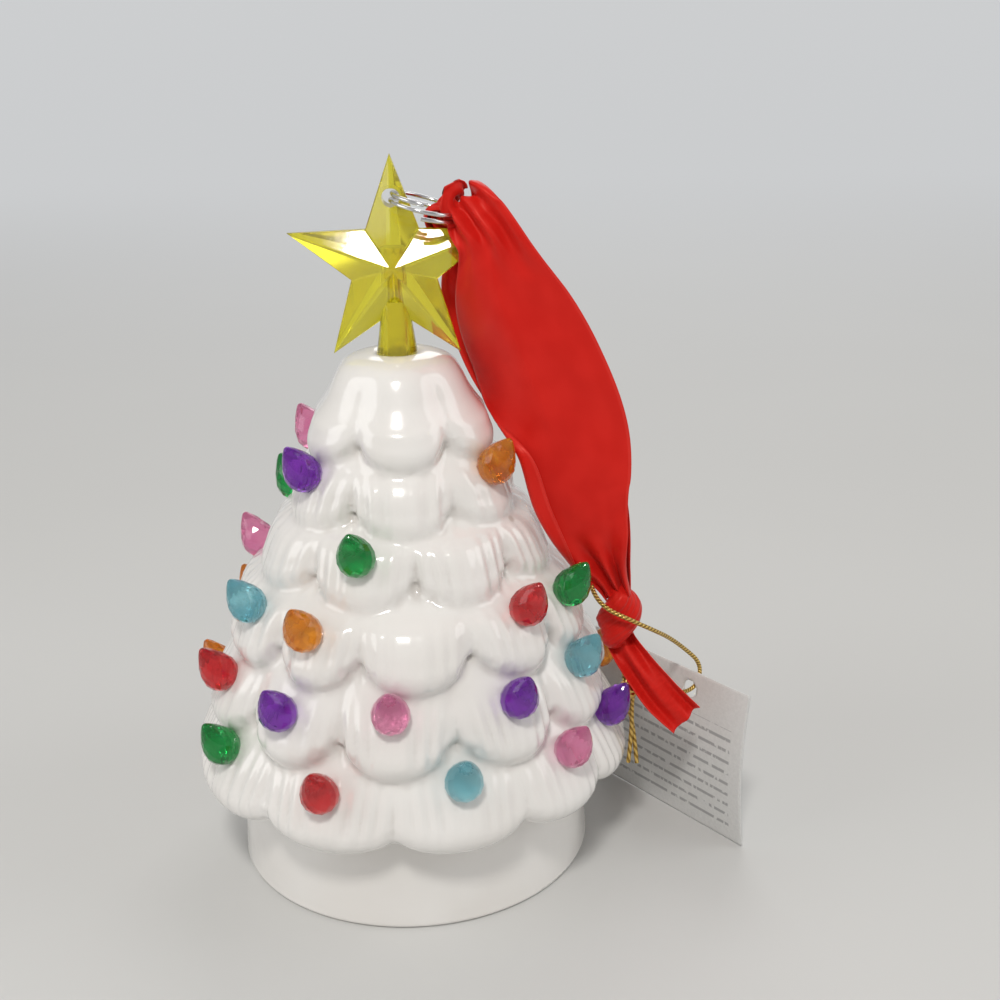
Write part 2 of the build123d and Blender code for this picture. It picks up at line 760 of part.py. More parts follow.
def make_led():
    """Round lamp with a domed end, a rim and two legs."""
    seat = board_bottom() + board_thickness
    shoulder = seat + led_height - led_radius
    body = drum(led_radius, seat, shoulder).fuse(Pos(0, 0, shoulder) * Sphere(led_radius))
    return body.fuse(drum(led_rim, seat, seat + led_rim_height), *led_legs(led_leg))


def switch_bottom():
    return board_bottom() - switch_height


def make_switch_body():
    """Switch under the board, open below for its slider."""
    body = Pos(*polar(180, switch_place(), switch_bottom())) * Box(
        switch_length, switch_width, switch_height, align=(Align.CENTER, Align.CENTER, Align.MIN)
    )
    return body.cut(slider_slot(switch_bottom(), switch_bottom() + slider_depth + slider_fit))


def make_slider():
    """Slider at the off end of its travel, with a collar between the cover and the switch."""
    low = foot_recess + slider_recess
    floor = foot_recess + cover_thickness + slider_fit
    grow = (Align.CENTER, Align.CENTER, Align.MIN)
    stem = Box(slider_length, slider_width, switch_bottom() + slider_depth - low, align=grow)
    collar = Box(
        slider_length + 2 * slider_collar,
        slider_width + 2 * slider_collar,
        switch_bottom() - slider_fit - floor,
        align=grow,
    )
    start = polar(180, switch_place(), 0) - Vector(switch_travel / 2, 0, 0)
    return Pos(*start) * (Pos(0, 0, low) * stem).fuse(Pos(0, 0, floor) * collar)


cord = make_cord()
nodes = {
    "tree_shell": make_tree(),
    "base": make_base(),
    "star_topper": make_star(),
    "split_ring": make_ring(),
    "ribbon_loop": make_ribbon(),
    "ribbon_knot": make_knot(),
    "ribbon_tail": make_tail(),
    "tag": make_tag(),
    "tag_cord": cord,
    "tag_bead": (Pos(*bead_centre) * Sphere(bead_radius)).cut(cord),
    "light_cover": make_cover(),
    "light_housing": make_housing(),
    "battery_door": make_door(),
    "door_screw": Pos(*polar(0, door_lug_place, 0)) * screw(
        door_screw_radius, door_screw_length, door_screw_head, door_screw_head_height
    ),
    "coin_cell": make_cell(),
    "contact_positive": make_contact_positive(),
    "contact_negative": make_contact_negative(),
    "circuit_board": make_board(),
    "led": make_led(),
    "switch_body": make_switch_body(),
    "switch_slider": make_slider(),
}
cover_screw = screw(screw_radius, screw_length, screw_head, screw_head_height)
for count, placed in enumerate(at_azimuths(cover_screw, boss_azimuths, boss_circle()), 1):
    nodes[f"cover_screw_{count}"] = placed
bulb = make_bulb()
for count, (colour, tier, azimuth, drop) in enumerate(bulbs, 1):
    nodes[f"bulb_{count:02d}_{colour}"] = bulb_plane(tier - 1, azimuth, drop).location * bulb

os.makedirs("parts", exist_ok=True)
for name, shape in nodes.items():
    export_step(shape, f"parts/{name}.step")
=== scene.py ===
# %% [markdown]
# ## The frame
# The ornament's solids are already made, at their real size, and are loaded as a fixed frame. Nothing here
# moves or resizes them: finer pieces stand in for some, and the others get a finish. Blender works in
# metres, so sizes that are written in millimetres are multiplied by MM.

# %% Load the frame
from math import atan2, cos, degrees, hypot, pi, radians, sin, sqrt

import bmesh
import bpy
import numpy as np
from mathutils import Matrix, Vector


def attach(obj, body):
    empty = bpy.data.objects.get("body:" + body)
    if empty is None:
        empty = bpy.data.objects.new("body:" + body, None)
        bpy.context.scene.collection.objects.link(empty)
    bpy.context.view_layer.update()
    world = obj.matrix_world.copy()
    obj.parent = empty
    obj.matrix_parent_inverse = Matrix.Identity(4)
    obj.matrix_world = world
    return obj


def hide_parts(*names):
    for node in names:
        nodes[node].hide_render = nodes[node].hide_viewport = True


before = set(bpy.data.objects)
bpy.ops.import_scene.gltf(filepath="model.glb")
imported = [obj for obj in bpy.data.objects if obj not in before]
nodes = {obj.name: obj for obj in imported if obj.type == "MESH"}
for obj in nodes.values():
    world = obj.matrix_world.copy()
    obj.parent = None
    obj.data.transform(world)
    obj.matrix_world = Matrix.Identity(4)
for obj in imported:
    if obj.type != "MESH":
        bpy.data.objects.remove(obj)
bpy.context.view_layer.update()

MM = 0.001

# %% [markdown]
# ## The camera
# The real ornament was photographed from a little above, close by, so the camera stands a quarter of a
# metre away and looks down by about twenty degrees. It also leans by one degree, as a hand-held camera
# does. The camera is made first because every later choice is judged through it.

# %% Camera
camera_spot = (0.0170, -0.2463, 0.1570)
camera_sensor, camera_lens = 36.0, 53.46
camera_dip, camera_lean = 20.2, -1.07
camera_data = bpy.data.cameras.new("camera")
camera_data.sensor_width = camera_sensor
camera_data.lens = camera_lens
camera = bpy.data.objects.new("camera", camera_data)
look_down = Matrix.Rotation(radians(90 - camera_dip), 4, "X")
lean = Matrix.Rotation(radians(camera_lean), 4, "Z")
camera.matrix_world = Matrix.Translation(camera_spot) @ look_down @ lean
bpy.context.scene.collection.objects.link(camera)
bpy.context.scene.camera = camera
print("camera at", tuple(round(x, 4) for x in camera.matrix_world.translation))

# %% [markdown]
# ## Writing finishes as sums
# A finish is a node tree. Wiring nodes one by one hides the idea, so one small class stands for a socket
# and lets Python arithmetic add the Math nodes. Every other kind of node comes from its one method.


# %% Finish helper
class Flow:
    """A socket in a finish's node tree. Arithmetic on it adds Math nodes."""

    def __init__(self, tree, socket=None):
        self.tree, self.socket = tree, socket

    def node(self, kind, sockets=None, out=0, **settings):
        """Adds a node: its settings first, then its sockets' values or links, by name or number."""
        made = self.tree.nodes.new("ShaderNode" + kind)
        for name, value in settings.items():
            if name == "stops":
                ramp = made.color_ramp.elements
                while len(ramp) < len(value):
                    ramp.new(1.0)
                for stop, (place, colour) in zip(ramp, value):
                    stop.position, stop.color = place, (*colour, 1.0)
            else:
                setattr(made, name, value)
        for name, value in (sockets or {}).items():
            if isinstance(value, Flow):
                self.tree.links.new(value.socket, made.inputs[name])
            else:
                made.inputs[name].default_value = value
        return Flow(self.tree, made.outputs[out])

    def math(self, operation, a, b=0.0):
        return self.node("Math", {0: a, 1: b}, operation=operation)

    def __add__(self, other):
        return self.math("ADD", self, other)

    def __radd__(self, other):
        return self.math("ADD", other, self)

    def __sub__(self, other):
        return self.math("SUBTRACT", self, other)

    def __rsub__(self, other):
        return self.math("SUBTRACT", other, self)

    def __mul__(self, other):
        return self.math("MULTIPLY", self, other)

    def __rmul__(self, other):
        return self.math("MULTIPLY", other, self)

    def sine(self):
        return self.math("SINE", self)

    def step(self, low, high):
        """0 below low, 1 above high, smooth between them."""
        limits = {0: self, 1: low, 2: high, 3: 0.0, 4: 1.0}
        return self.node("MapRange", limits, interpolation_type="SMOOTHSTEP")

    def mix(self, a, b):
        """Colour a where this is 0, colour b where it is 1."""
        a, b = [x if isinstance(x, Flow) else (*x, 1.0) for x in (a, b)]
        return self.node("Mix", {0: self, 6: a, 7: b}, out=2, data_type="RGBA")

    def scaled(self, factors):
        """This vector with each of its parts multiplied."""
        return self.node("VectorMath", {0: self, 1: factors}, operation="MULTIPLY")

    def noise(self, scale, detail=3.0, roughness=0.5):
        sockets = {"Vector": self, "Scale": scale, "Detail": detail, "Roughness": roughness}
        return self.node("TexNoise", sockets)

    def bump(self, strength, distance):
        """A normal from this height."""
        return self.node("Bump", {"Strength": strength, "Distance": distance, "Height": self})


def new_finish(name, **constants):
    """A material with one shader. Values that are the same all over are set on its own sockets."""
    material = bpy.data.materials.new(name)
    material.use_nodes = True
    tree = material.node_tree
    shader = tree.nodes["Principled BSDF"]
    for socket, value in constants.items():
        shader.inputs[socket.replace("_", " ")].default_value = value

    def drive(**links):
        for socket, flow in links.items():
            tree.links.new(flow.socket, shader.inputs[socket.replace("_", " ")])

    start = Flow(tree)
    place = start.node("TexCoord", out=3)
    return material, start, place, drive


print("finish helper ready")

# %% [markdown]
# ## Pieces
# A piece is a mesh in the frame's own metres, so its object stays at the origin. It rides on a body of the
# frame, and the solids that it stands for are hidden.


# %% Piece helpers
def settle(name, mesh, finish, body, replaced=()):
    """A piece from a mesh, with its finish, that rides on a body and stands for some solids."""
    piece = bpy.data.objects.new(name, mesh)
    bpy.context.scene.collection.objects.link(piece)
    mesh.materials.clear()
    mesh.materials.append(finish)
    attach(piece, body)
    if replaced:
        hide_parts(*replaced)
    return piece


def to_mesh(name, bm, smooth=True):
    """The mesh of a finished bmesh."""
    for face in bm.faces:
        face.smooth = smooth
    mesh = bpy.data.meshes.new(name)
    bm.to_mesh(mesh)
    bm.free()
    return mesh


def turned(bm, outline, steps, closed=True):
    """Spins an outline of radius and height, in millimetres, round the axis. Returns its vertices."""
    before = len(bm.verts)
    verts = [bm.verts.new((r * MM, 0, z * MM)) for r, z in outline]
    ends = verts[1:] + verts[:1] if closed else verts[1:]
    edges = [bm.edges.new(pair) for pair in zip(verts, ends)]
    bmesh.ops.spin(
        bm, geom=verts + edges, cent=(0, 0, 0), axis=(0, 0, 1), angle=2 * pi, steps=steps, use_merge=True
    )
    bm.verts.ensure_lookup_table()
    return bm.verts[before:]


def baked(piece_mesh, kind, **settings):
    """The mesh that one modifier makes of a mesh."""
    holder = bpy.data.objects.new("holder", piece_mesh)
    bpy.context.scene.collection.objects.link(holder)
    modifier = holder.modifiers.new(kind, kind)
    for name, value in settings.items():
        setattr(modifier, name, value)
    result = bpy.data.meshes.new_from_object(holder.evaluated_get(bpy.context.evaluated_depsgraph_get()))
    bpy.data.objects.remove(holder)
    return result


def relax(bm, times, factor):
    """Smooths a bmesh evenly, a number of times."""
    for _ in range(times):
        bmesh.ops.smooth_vert(
            bm, verts=bm.verts, factor=factor, use_axis_x=True, use_axis_y=True, use_axis_z=True
        )


def thicken(piece, thickness):
    """Gives a thin sheet its thickness in millimetres, half to each side."""
    solid = piece.modifiers.new("thickness", "SOLIDIFY")
    solid.thickness = thickness * MM
    solid.offset = 0.0


painted = []


def paint(name, finish):
    """Gives a carried-over solid its finish."""
    mesh = nodes[name].data
    mesh.materials.clear()
    mesh.materials.append(finish)
    painted.append(name)


print("piece helpers ready")

# %% [markdown]
# ## The gold cord
# A thin gold elastic ties the tag to the ribbon's neck: one length, doubled, whose two loose ends hang
# below a small bead. It could be a tube along straight runs, but a real cord has no corners, so a smooth
# spline with the route's points as its control points is used. Fine slanting ridges stand for the wound
# foil thread.

# %% Gold cord
cord_diameter = 0.8
cord_route = [
    (41.2, -7.2, 17.2), (40.6, -7.0, 24.0), (39.1, -6.8, 31.0), (38.6, -4.4, 37.2), (37.6, -0.6, 41.4),
    (37.4, 1.4, 46.6), (37.2, 0.2, 51.6), (33.8, -1.6, 53.0), (32.4, -6.0, 52.6), (34.4, -9.9, 49.8),
    (39.4, -10.4, 47.4), (44.0, -7.2, 43.8), (47.2, -2.6, 40.2), (50.6, 1.8, 35.8), (54.0, 3.8, 31.8),
    (53.6, 2.9, 27.8), (50.2, 0.1, 27.2), (46.2, -3.6, 31.0), (42.6, -6.0, 34.6), (40.1, -6.8, 31.6),
    (40.2, -7.8, 24.4), (39.6, -7.6, 17.6),
]
gold_thread, start, place, drive = new_finish("gold_thread", Metallic=0.85)
thread_turns, thread_strands = 900.0, 2
thread_uv = start.node("TexCoord", out=2)
along = thread_uv.node("SeparateXYZ", {0: thread_uv}, out=0)
around = thread_uv.node("SeparateXYZ", {0: thread_uv}, out=1)
ridge = (along * thread_turns + around * (2 * pi * thread_strands)).sine()
drive(
    Base_Color=ridge.step(-1.0, 0.6).mix((0.30, 0.17, 0.03), (0.78, 0.54, 0.16)),
    Roughness=place.noise(900.0) * 0.2 + 0.22,
    Normal=ridge.bump(0.6, 0.00012),
)
cord_curve = bpy.data.curves.new("gold_cord", "CURVE")
cord_curve.dimensions = "3D"
cord_curve.bevel_depth = cord_diameter / 2 * MM
cord_curve.bevel_resolution = 3
cord_curve.use_fill_caps = True
spline = cord_curve.splines.new("NURBS")
spline.points.add(len(cord_route) - 1)
for point, (x, y, z) in zip(spline.points, cord_route):
    point.co = (x * MM, y * MM, z * MM, 1.0)
spline.order_u = 3
spline.use_endpoint_u = True
spline.resolution_u = 10
gold_cord = bpy.data.objects.new("gold_cord", cord_curve)
bpy.context.scene.collection.objects.link(gold_cord)
cord_curve.materials.append(gold_thread)
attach(gold_cord, "tag")
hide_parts("tag_cord")
print("gold cord: route of", len(cord_route), "points")

# %% [markdown]
# ## The bead
# The bead that joins the two ends of the cord is a small bright crimp: a barrel with a rolled seam round
# its middle. Its profile is spun, which keeps it perfectly round.

# %% Bead
bead_centre = Vector((39.5, -6.7, 32.0)) * MM
gold_bead_finish, start, place, drive = new_finish("gold_bead_finish", Metallic=1.0, Coat_Weight=0.2)
dents = place.noise(700.0, 4.0)
drive(
    Base_Color=dents.step(0.3, 0.75).mix((0.62, 0.37, 0.09), (0.88, 0.62, 0.22)),
    Roughness=dents * 0.25 + 0.1,
    Normal=dents.bump(0.25, 0.0002),
)
bm = bmesh.new()
bead_outline = [
    (0.55, -1.6), (1.0, -1.62), (1.42, -1.2), (1.66, -0.62), (1.72, -0.24), (1.56, -0.1),
    (1.56, 0.1), (1.72, 0.24), (1.66, 0.62), (1.42, 1.2), (1.0, 1.62), (0.55, 1.6),
]
turned(bm, bead_outline, 32)
bmesh.ops.recalc_face_normals(bm, faces=bm.faces)
bmesh.ops.translate(bm, verts=bm.verts, vec=bead_centre)
bead = settle("crimp_bead", to_mesh("crimp_bead", bm), gold_bead_finish, "tag", ["tag_bead"])
print("bead:", len(bead.data.polygons), "faces")

# %% [markdown]
# ## The card
# The hang tag is thin card that has curled: its middle bends in towards the tree. A fine grid is bent by
# moving its vertices, the hole is cut by leaving out the faces inside it, and a Solidify modifier gives the
# card its thickness. Its face carries only plain grey bars in place of print.

# %% Card finish
card_white, start, place, drive = new_finish("card_white", Roughness=0.62, Specular_IOR_Level=0.35)
card_uv = start.node("TexCoord", out=2)
across = card_uv.node("SeparateXYZ", {0: card_uv}, out=0)
upward = card_uv.node("SeparateXYZ", {0: card_uv}, out=1)
print_rows, print_words = 14.0, 46.0
lines = upward * print_rows
row = lines.math("FRACT", lines)
bar = row.step(0.30, 0.40) * (1.0 - row.step(0.58, 0.68))
ragged = lines.math("FLOOR", lines)
line_end = ragged.node("TexWhiteNoise", {"W": ragged}, noise_dimensions="1D")
word_gap = card_uv.scaled((print_words, print_rows, 1.0)).noise(1.0, 1.0).step(0.36, 0.46)
field = across.step(0.07, 0.08) * (1.0 - (across + line_end * 0.12).step(0.88, 0.90))
field = field * upward.step(0.08, 0.085) * (1.0 - upward.step(0.74, 0.745))
ink = bar * field * word_gap
fibre = place.noise(1600.0, 5.0, 0.7)
paper = fibre.step(0.25, 0.8).mix((0.66, 0.66, 0.65), (0.74, 0.74, 0.73))
drive(Base_Color=(ink * 0.62).mix(paper, (0.20, 0.20, 0.21)), Normal=fibre.bump(0.12, 0.0001))
print("card finish ready")

# %% Card
card_length, card_height, card_thickness = 40.0, 31.0, 0.35
card_corner = Vector((60.8, -9.3, 0.3)) * MM
card_heading = radians(129.0)
card_hole = Vector((14.0, card_height - 3.6))
card_hole_radius = 1.6
bm = bmesh.new()
bm.loops.layers.uv.new("card")
bmesh.ops.create_grid(bm, x_segments=81, y_segments=63, size=0.5, calc_uvs=True)
run = Vector((cos(card_heading), sin(card_heading), 0))
inward = Vector((-sin(card_heading), cos(card_heading), 0))
spare = []
for vert in bm.verts:
    flat = Vector(((vert.co.x + 0.5) * card_length, (vert.co.y + 0.5) * card_height))
    away = flat - card_hole
    if away.length < card_hole_radius * 0.8:
        spare.append(vert)
    elif away.length < card_hole_radius * 1.25:
        flat = card_hole + away.normalized() * max(away.length, card_hole_radius)
    lift = flat.y / card_height
    end = 1 - flat.x / card_length
    curl = 1.3 * sin(pi * lift) * (0.35 + 0.65 * end) - 0.5 * end * end * lift
    vert.co = card_corner + (run * flat.x + inward * curl + Vector((0, 0, flat.y))) * MM
bmesh.ops.delete(bm, geom=spare, context="VERTS")
card = settle("tag_card", to_mesh("tag_card", bm), card_white, "tag", ["tag"])
thicken(card, card_thickness)
print("card:", len(card.data.polygons), "faces")

# %% [markdown]
# ## The glazed tree
# The real tree is slip-cast: six skirts of rounded branches flow out of a cone, and thick glaze has filled
# every crease. It could be sculpted from one cone, but then the hems would not overhang. Here each skirt is
# spun from its own outline, its hem is pulled up and in between the branches, and all the skirts are fused
# by a voxel remesh, which also rounds the joins as glaze does. Then the surface is smoothed and fine flutes
# are pressed into it.

# %% Tree sizes
base_height = 18.0
tier_reach = [17.0, 20.8, 26.3, 33.0, 37.0, 40.0]
tier_hem = [base_height + rise for rise in (58.6, 47.8, 37.4, 26.0, 13.0, 1.2)]
lobe_radius = [7.5, 7.8, 8.4, 8.8, 9.2, 10.4]
tier_azimuths = [
    [-60, 5, 66, 125, -175, -118],
    [-54, 4, 58, 118, 178, -122],
    [-62, -15, 29, 72, 120, 170, -122],
    [-56, -29, 4, 44, 67, 112, 155, -162, -116],
    [-64, -34, -2, 34, 63, 106, 146, -174, -120],
    [-56, -20, 16, 49, 73, 112, 150, -172, -140, -104],
]
branch_tilt = radians(42.0)
lobe_rim, lobe_crown = 3.2, 1.2
crown_height = tier_hem[0] + 17.0
valley_in = [5.0, 5.6, 6.2, 6.6, 6.6, 2.8]
valley_up = [6.8, 7.4, 7.6, 7.8, 7.8, 3.2]
hem_drop = [0.8, 0.8, 0.8, 0.8, 0.8, 1.5]
crown_shoulder = [(14.9, 84.2), (12.9, 87.0), (11.5, 89.8), (10.4, 91.6), (9.2, 92.7), (7.2, 93.5)]
crown_lip = [(5.2, crown_height + 0.3), (3.2, crown_height + 0.4)]
slope = (-sin(branch_tilt), cos(branch_tilt))
normal = (cos(branch_tilt), sin(branch_tilt))


def rim_centre(tier):
    return tier_reach[tier] - lobe_rim, tier_hem[tier] + lobe_rim


def branch_share(tier, azimuth):
    """1 on the middle line of a branch, 0 half way to its neighbour."""
    turns = sorted(tier_azimuths[tier])
    turns = [turns[-1] - 360] + turns + [turns[0] + 360]
    for left, right in zip(turns, turns[1:]):
        if left <= azimuth <= right:
            half = (right - left) / 2
            away = min(azimuth - left, right - azimuth) / half
            return sqrt(max(0.0, 1 - (0.98 * away) ** 2))
    return 0.0


def skirt_outline(tier):
    """Closed outline of a skirt, through the middle of a branch: rolled hem, domed face, and back inside."""
    r, z = rim_centre(tier)
    points = []
    for step in range(9):
        turn = radians(-150 + step * (150 + 42) / 8)
        points.append((r + lobe_rim * cos(turn), z + lobe_rim * sin(turn)))
    half = lobe_radius[tier] - lobe_rim
    for share in (0.35, 0.7, 1.0):
        lift = lobe_rim + lobe_crown * (1 - (1 - share) ** 2)
        points.append((
            r + slope[0] * half * share + normal[0] * lift,
            z + slope[1] * half * share + normal[1] * lift,
        ))
    if tier:
        above_r, above_z = rim_centre(tier - 1)
        points += [(above_r - 1.0, above_z + 0.4), (above_r - 4.5, above_z + 2.0)]
    else:
        points[-2:] = crown_shoulder + crown_lip
    inner = points[-1][0]
    points.append((min(inner, r - 5.0), z + 1.0))
    return points


print("tree: tiers", len(tier_reach), "branches", sum(len(t) for t in tier_azimuths))

# %% Tree skirts
skirt_steps, core_steps, voxel = 288, 144, 0.55
bm = bmesh.new()
for tier in range(len(tier_reach)):
    outline = skirt_outline(tier)
    top = max(z for _, z in outline) * MM
    low = tier_hem[tier] * MM
    for vert in turned(bm, outline, skirt_steps):
        x, y, z = vert.co
        azimuth = degrees(atan2(x, -y))
        radius = hypot(x, y)
        short = 1 - branch_share(tier, azimuth)
        hang = min(1.0, max(0.0, (top - z) / (top - low)))
        shrink = 1 - valley_in[tier] * MM * short * hang / max(radius, 1e-4)
        vert.co = (x * shrink, y * shrink, z + (valley_up[tier] * short - hem_drop[tier]) * hang ** 2 * MM)
core = [
    (3.2, crown_height - 0.6), (7.0, crown_height - 0.6), (10.5, 84.0), (13.5, 73.0), (18.5, 62.0),
    (24.0, 51.0), (28.5, 39.0), (32.0, 27.0), (34.5, base_height), (26.8, base_height), (26.8, 22.2),
    (24.0, 34.0), (19.0, 47.0), (13.5, 60.0), (9.0, 72.0), (6.0, 82.0), (3.2, 87.0),
]
turned(bm, core, core_steps)
bmesh.ops.recalc_face_normals(bm, faces=bm.faces)
fused = baked(to_mesh("tree_rough", bm), "REMESH", mode="VOXEL", voxel_size=voxel * MM)
print("tree: fused mesh of", len(fused.polygons), "faces")

# %% Tree smoothing and flutes
last_tier = len(tier_reach) - 1
flute_depth, flute_spread, flute_reach = 0.22, 0.34, 12.0
bm = bmesh.new()
bm.from_mesh(fused)
relax(bm, 5, 0.5)
for vert in bm.verts:
    x, y, z = vert.co
    radius = hypot(x, y)
    if z < (base_height + 0.3) * MM or vert.normal.z < -0.4:
        continue
    azimuth = degrees(atan2(x, -y))
    tier = next((t for t in range(last_tier + 1) if z / MM > tier_hem[t] + 0.5), last_tier)
    if tier == 0 or radius / MM < tier_reach[tier] - flute_reach:
        continue
    offsets = [(azimuth - turn + 180) % 360 - 180 for turn in tier_azimuths[tier]]
    away = min(offsets, key=abs)
    lobe = offsets.index(away)
    height = z / MM - tier_hem[tier]
    fade = min(1.0, max(0.0, (height - 0.6) / 3.0)) * min(1.0, max(0.0, (13.0 - height) / 6.0))
    strength = flute_depth + flute_spread * abs(sin(lobe * 2.3 + tier * 1.7))
    side = abs(away) * radians(1) * radius / MM
    wave = sin(side * (2.4 + 0.25 * sin(lobe * 5.1)) + 0.9 * sin(side * 0.7 + lobe))
    vert.co -= vert.normal * (strength * fade * (0.5 + 0.5 * wave) * min(1.0, side / 2.5)) * MM
relax(bm, 2, 0.4)
casting_mesh = to_mesh("glazed_tree", bm)
bpy.data.meshes.remove(fused)
print("tree: finished mesh of", len(casting_mesh.polygons), "faces")

# %% [markdown]
# ## The glaze
# Under the clear glaze the clay is a warm white. A number is stored at each vertex for how hollow the surface
# is, and by it shade is painted into the creases: they are made darker, as shade that falls there, and a
# little creamier, as glaze that runs thick. The surface itself is nearly smooth, with a faint orange-peel
# waviness.

# %% Glaze finish
deep_crease = 0.35
spots = np.empty(len(casting_mesh.vertices) * 3)
casting_mesh.vertices.foreach_get("co", spots)
spots = spots.reshape(-1, 3)
bm = bmesh.new()
bm.from_mesh(casting_mesh)
relax(bm, 14, 0.5)
relaxed = np.array([v.co for v in bm.verts])
outwards = np.array([v.normal for v in bm.verts])
bm.free()
hollow = ((relaxed - spots) * outwards).sum(1) / MM
crease = casting_mesh.attributes.new("crease", "FLOAT", "POINT")
crease.data.foreach_set("value", np.clip(hollow / deep_crease, -1, 1).astype(np.float32))


def glaze(name, creased):
    """Warm white under clear glaze. A creased piece gets painted shade in its creases, by its crease
    attribute.
    """
    finish, start, place, drive = new_finish(
        name, Specular_IOR_Level=0.55, Coat_Roughness=0.06, Coat_IOR=1.5
    )
    cloud = place.noise(60.0, 2.0)
    white = cloud.step(0.3, 0.75).mix((0.80, 0.775, 0.745), (0.84, 0.82, 0.795))
    if creased:
        # painted shade: the crease attribute darkens the creases, with a little creaminess where glaze lies
        # thick
        crease_shade_and_pooling = start.node("Attribute", out=2, attribute_name="crease").step(0.05, 0.9)
        white = (crease_shade_and_pooling * 0.55).mix(white, (0.62, 0.585, 0.55))
    fleck = place.node("TexVoronoi", {"Vector": place, "Scale": 95.0}, feature="F1")
    speck = (1.0 - fleck.step(0.05, 0.10)) * place.noise(33.0, 0.0).step(0.66, 0.70)
    white = (speck * 0.5).mix(white, (0.42, 0.34, 0.27))
    peel = place.noise(240.0, 2.0)
    drive(
        Base_Color=white,
        Roughness=place.noise(90.0, 3.0) * 0.12 + 0.10,
        Coat_Weight=place.noise(40.0, 1.0) * 0.3 + 0.45,
        Normal=peel.bump(0.10, 0.0006),
    )
    return finish


tree_glaze = glaze("tree_glaze", True)
settle("glazed_tree", casting_mesh, tree_glaze, "tree", ["tree_shell"])
paint("base", glaze("base_glaze", False))
print("glaze on the tree and the base")

# %% [markdown]
# ## The bulbs
# Each bulb is a clear plastic drop with cut facets, pushed into a branch by its peg. A plain spun drop
# would look like a bead, so every other ring of the spun head is turned by half a step and the faces are
# split into triangles, which gives the diamond facets of the real moulding. The one shape is then copied to
# every place.

# %% Bulb shape
bulb_places = [
    ("purple", 2, -54, 1.3), ("orange", 2, 58, 0.9), ("pink", 2, -122, 1.0), ("teal", 2, 178, 1.0),
    ("green", 3, -15, 1.8), ("green", 3, -122, 1.5), ("red", 3, 170, 1.5),
    ("pink", 4, -116, 2.2), ("teal", 4, -56, 1.3), ("orange", 4, -29, 2.2), ("red", 4, 44, 0.6),
    ("green", 4, 67, 1.8), ("purple", 4, 155, 1.5), ("red", 4, -162, 1.5),
    ("red", 5, -64, 2.4), ("purple", 5, -34, 3.0), ("pink", 5, -2, 0.9), ("purple", 5, 34, 1.5),
    ("teal", 5, 63, 0.7), ("green", 5, 146, 1.5), ("pink", 5, -174, 1.5), ("orange", 5, -120, 1.5),
    ("green", 6, -56, 2.9), ("red", 6, -20, 3.9), ("teal", 6, 16, 1.9), ("pink", 6, 49, 2.6),
    ("purple", 6, 73, 2.2), ("orange", 6, 112, 3.6), ("red", 6, 150, 3.8), ("purple", 6, -172, 3.8),
    ("pink", 6, -140, 2.4), ("orange", 6, -104, 2.4),
]
bulb_rows = [
    (2.3, 0.1), (2.95, 1.0), (3.26, 2.0), (3.24, 3.1), (2.92, 4.2), (2.42, 5.3), (1.8, 6.4), (1.12, 7.4),
    (0.5, 8.15),
]
bulb_steps = 11
peg_radius, peg_length, bulb_top = 1.5, 5.0, 8.4
bm = bmesh.new()
peg = [(0.0, -peg_length), (peg_radius, -peg_length), (peg_radius, 0.05)]
turned(bm, peg + bulb_rows + [(0.0, bulb_top)], bulb_steps, closed=False)
bmesh.ops.remove_doubles(bm, verts=bm.verts, dist=1e-6)
heights = {round(z, 3): k for k, (_, z) in enumerate(bulb_rows)}
for vert in bm.verts:
    row = heights.get(round(vert.co.z / MM, 3))
    if row is not None and row % 2:
        vert.co = Matrix.Rotation(pi / bulb_steps, 3, "Z") @ vert.co
bmesh.ops.triangulate(bm, faces=bm.faces, quad_method="SHORT_EDGE")
bmesh.ops.recalc_face_normals(bm, faces=bm.faces)
facets = [e for e in bm.edges if e.calc_face_angle(0) > radians(8)]
bmesh.ops.bevel(bm, geom=facets, offset=0.00007, affect="EDGES", segments=1, profile=0.5, material=-1)
bulb_shape = to_mesh("bulb_shape", bm, smooth=False)
print("bulb shape:", len(bulb_shape.polygons), "faces")

# %% Bulb finishes and places
bulb_colours = {
    "purple": ((0.20, 0.02, 0.45), (0.27, 0.04, 0.56)),
    "green": ((0.0, 0.30, 0.05), (0.01, 0.40, 0.08)),
    "orange": ((0.80, 0.24, 0.01), (0.90, 0.34, 0.02)),
    "red": ((0.66, 0.02, 0.025), (0.78, 0.04, 0.045)),
    "teal": ((0.20, 0.56, 0.66), (0.30, 0.66, 0.74)),
    "pink": ((0.82, 0.24, 0.46), (0.90, 0.34, 0.55)),
}
bulb_finishes = {}
for colour, (deep, pale) in bulb_colours.items():
    finish, start, place, drive = new_finish(
        f"{colour}_bulb_plastic", Transmission_Weight=0.78, IOR=1.42, Coat_Weight=0.3, Coat_Roughness=0.03
    )
    drive(
        Base_Color=place.noise(260.0, 1.0).step(0.35, 0.65).mix(deep, pale),
        Roughness=place.noise(500.0, 1.0) * 0.06 + 0.04,
    )
    bulb_finishes[colour] = finish


bulb_tilt, bulb_sink = radians(60.0), 0.5


def bulb_matrix(tier, azimuth, drop):
    """Where a bulb stands, below the middle of its branch by a drop: its own Z axis points up and out."""
    half = lobe_radius[tier] - lobe_rim
    below = (half ** 2 - lobe_crown ** 2) / (2 * lobe_crown)
    sphere = lobe_rim + lobe_crown + below
    face = branch_tilt - drop / sphere
    r, z = rim_centre(tier)
    r += slope[0] * half - below * normal[0] + sphere * cos(face) - bulb_sink * cos(bulb_tilt)
    z += slope[1] * half - below * normal[1] + sphere * sin(face) - bulb_sink * sin(bulb_tilt)
    turn = Matrix.Rotation(radians(azimuth), 4, "Z")
    return turn @ Matrix.Translation((0, -r * MM, z * MM)) @ Matrix.Rotation(pi / 2 - bulb_tilt, 4, "X")


